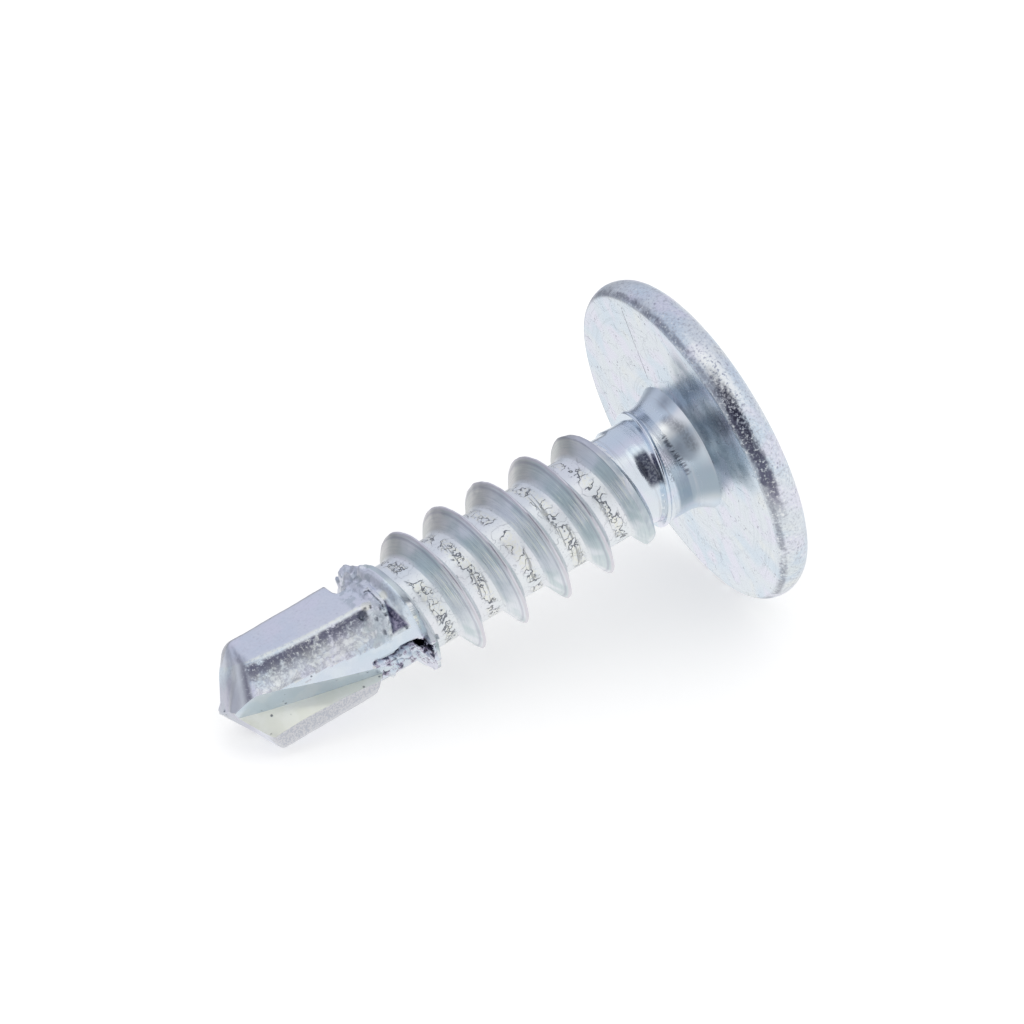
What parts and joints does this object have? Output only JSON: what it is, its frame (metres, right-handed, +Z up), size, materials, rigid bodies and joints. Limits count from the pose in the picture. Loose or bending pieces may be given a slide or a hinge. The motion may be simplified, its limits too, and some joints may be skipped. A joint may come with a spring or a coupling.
{
  "type": "self drilling screw",
  "caption": "Wafer head self drilling screw with a cross recess, a coarse sharp thread and a forged drill point, lying at rest.",
  "frame": {"origin": "centre of the footprint, on the surface that the screw lies on", "axes": "+Z up; -X towards the drill point, which dips to the floor; +X towards the head"},
  "size_m": [0.0176, 0.0102, 0.01],
  "materials": {
    "zinc_plated_steel": "bright zinc plating over cold formed and rolled steel, smooth with fine marks"
  },
  "bodies": {
    "root": {"self_drilling_screw": "zinc_plated_steel"}
  },
  "joints": []
}
